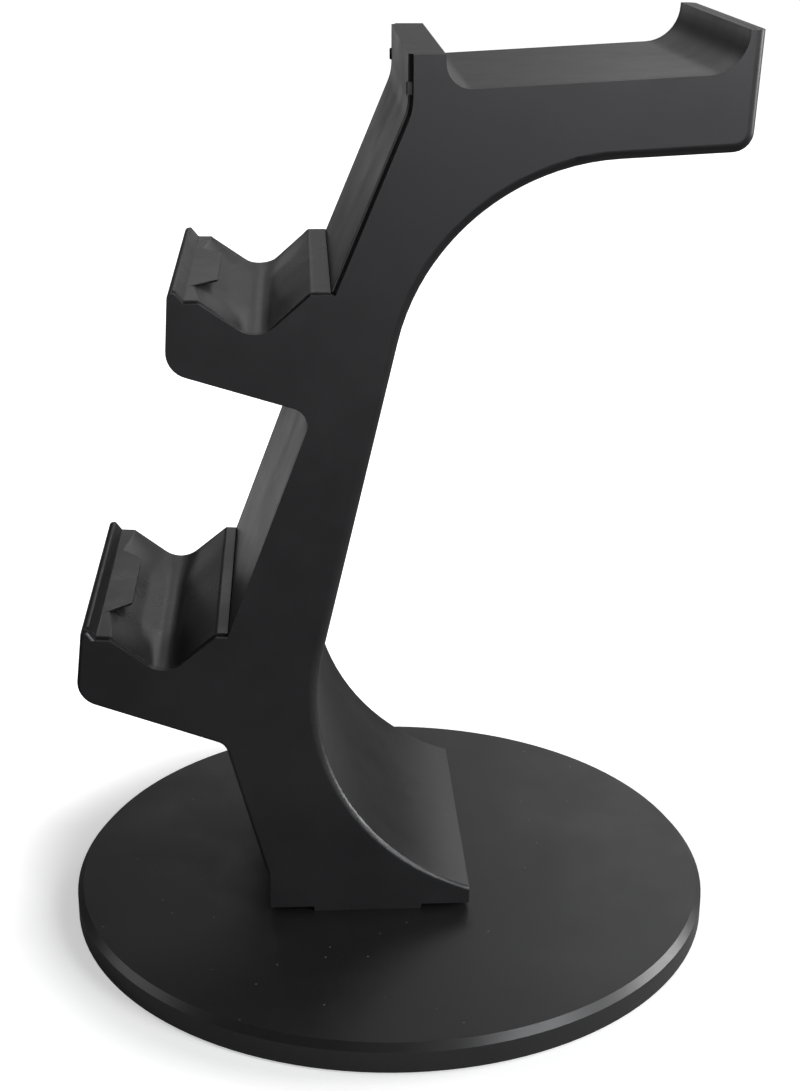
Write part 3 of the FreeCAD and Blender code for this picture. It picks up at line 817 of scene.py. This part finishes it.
def add_softbox(name, place, target, size, size_y, brightness, colour):
    """A rectangular softbox. Its power follows from its size, for an even brightness."""
    data = bpy.data.lights.new(name, "AREA")
    data.shape = "RECTANGLE"
    data.size = size
    data.size_y = size_y
    data.energy = brightness * size * size_y * math.pi
    data.color = linear(colour)[:3]
    light = bpy.data.objects.new(name, data)
    light.location = place
    light.rotation_euler = (Vector(target) - Vector(place)).to_track_quat("-Z", "Y").to_euler()
    light.visible_camera = False
    bpy.context.scene.collection.objects.link(light)


def make_lights():
    """Softboxes round the table: broad ones at the front and right, small dim ones behind."""
    centre = (0.0, 0.0, 0.12)
    above_ground_card = (-0.3, 0.65, 1.0)
    # Name, place, aimed at, width, height, brightness and colour
    for row in (
        ("front strip", (0.6, -2.4, 0.38), centre, 1.2, 0.4, 8.6, "#fbfbff"),
        ("front right softbox", (1.2, -1.0, 0.8), centre, 0.7, 0.9, 8.8, "#fbfcff"),
        ("right softbox", (1.5, 0.2, 0.7), centre, 0.7, 0.9, 4.8, "#ffffff"),
        ("right low strip", (1.5, 0.2, 0.25), centre, 0.7, 0.4, 10.0, "#ffffff"),
        ("left softbox", (-1.5, 0.2, 0.7), centre, 0.7, 0.9, 1.6, "#ffffff"),
        ("back right softbox", (0.9, 1.4, 1.0), centre, 0.6, 0.6, 3.0, "#ffffff"),
        ("back right card", (0.45, 1.5, 0.95), centre, 0.4, 0.4, 1.2, "#ffffff"),
        ("back card", (0.1, 1.8, 0.9), centre, 0.8, 0.5, 0.55, "#ffffff"),
        ("back left card", (-0.25, 1.6, 0.65), centre, 0.4, 0.3, 0.23, "#ffffff"),
        ("back low strip", (0.1, 1.8, 0.2), centre, 0.9, 0.3, 0.34, "#ffffff"),
        ("back left low strip", (-0.45, 1.7, 0.1), centre, 0.6, 0.2, 0.3, "#ffffff"),
        ("ground card", (-0.3, 0.65, 0.015), above_ground_card, 0.9, 0.7, 0.42, "#ffffff"),
    ):
        add_softbox(*row)


def set_view():
    """Plain display transform, so that white paper stays white."""
    view = bpy.context.scene.view_settings
    view.view_transform = "Standard"
    view.look = "None"


def make_camera():
    """Camera fitted to the photograph: 800 by 1091 pixels, no shift."""
    place = Vector((-0.02549, -0.49963, 0.30051))
    yaw, pitch, roll = math.radians(3.237), math.radians(20.573), math.radians(-0.245)
    focal_pixels, long_side_pixels, sensor_mm = 1850.4, 1091.0, 36.0
    forward = Vector((math.sin(yaw) * math.cos(pitch), math.cos(yaw) * math.cos(pitch), -math.sin(pitch)))
    level = Vector((math.cos(yaw), -math.sin(yaw), 0.0))
    down = forward.cross(level)
    right = math.cos(roll) * level + math.sin(roll) * down
    below = -math.sin(roll) * level + math.cos(roll) * down
    data = bpy.data.cameras.new("camera")
    data.sensor_fit = "AUTO"
    data.sensor_width = sensor_mm
    data.lens = sensor_mm * focal_pixels / long_side_pixels
    data.clip_start = 0.01
    data.clip_end = 50.0
    camera = bpy.data.objects.new("camera", data)
    turn = Matrix((right, -below, -forward)).transposed().to_4x4()
    camera.matrix_world = Matrix.Translation(place) @ turn
    bpy.context.scene.collection.objects.link(camera)
    bpy.context.scene.camera = camera


class STAND_PT_panel(bpy.types.Panel):
    """Lists the stand's sizes, colours and pieces"""

    bl_idname = "STAND_PT_panel"
    bl_label = "Controller stand"
    bl_space_type = "VIEW_3D"
    bl_region_type = "UI"
    bl_category = "Stand"

    def draw(self, context):
        for group in (sizes(), colours()):
            for name in group.__annotations__:
                self.layout.prop(group, name)
        for operator in operators:
            self.layout.operator(operator.bl_idname)


operators = (
    STAND_OT_base, STAND_OT_stem, STAND_OT_inserts, STAND_OT_feet, STAND_OT_screws, STAND_OT_stage,
)
classes = (StandSizes, StandColours) + operators + (STAND_PT_panel,)


def register():
    for item in classes:
        bpy.utils.register_class(item)
    bpy.types.Scene.stand_sizes = PointerProperty(type=StandSizes)
    bpy.types.Scene.stand_colours = PointerProperty(type=StandColours)


def unregister():
    del bpy.types.Scene.stand_colours
    del bpy.types.Scene.stand_sizes
    for item in reversed(classes):
        bpy.utils.unregister_class(item)


def main():
    register()
    bpy.ops.stand.stage()
    bpy.ops.stand.base()
    bpy.ops.stand.stem()
    bpy.ops.stand.inserts()
    bpy.ops.stand.feet()
    bpy.ops.stand.screws()


if __name__ == "__main__":
    main()
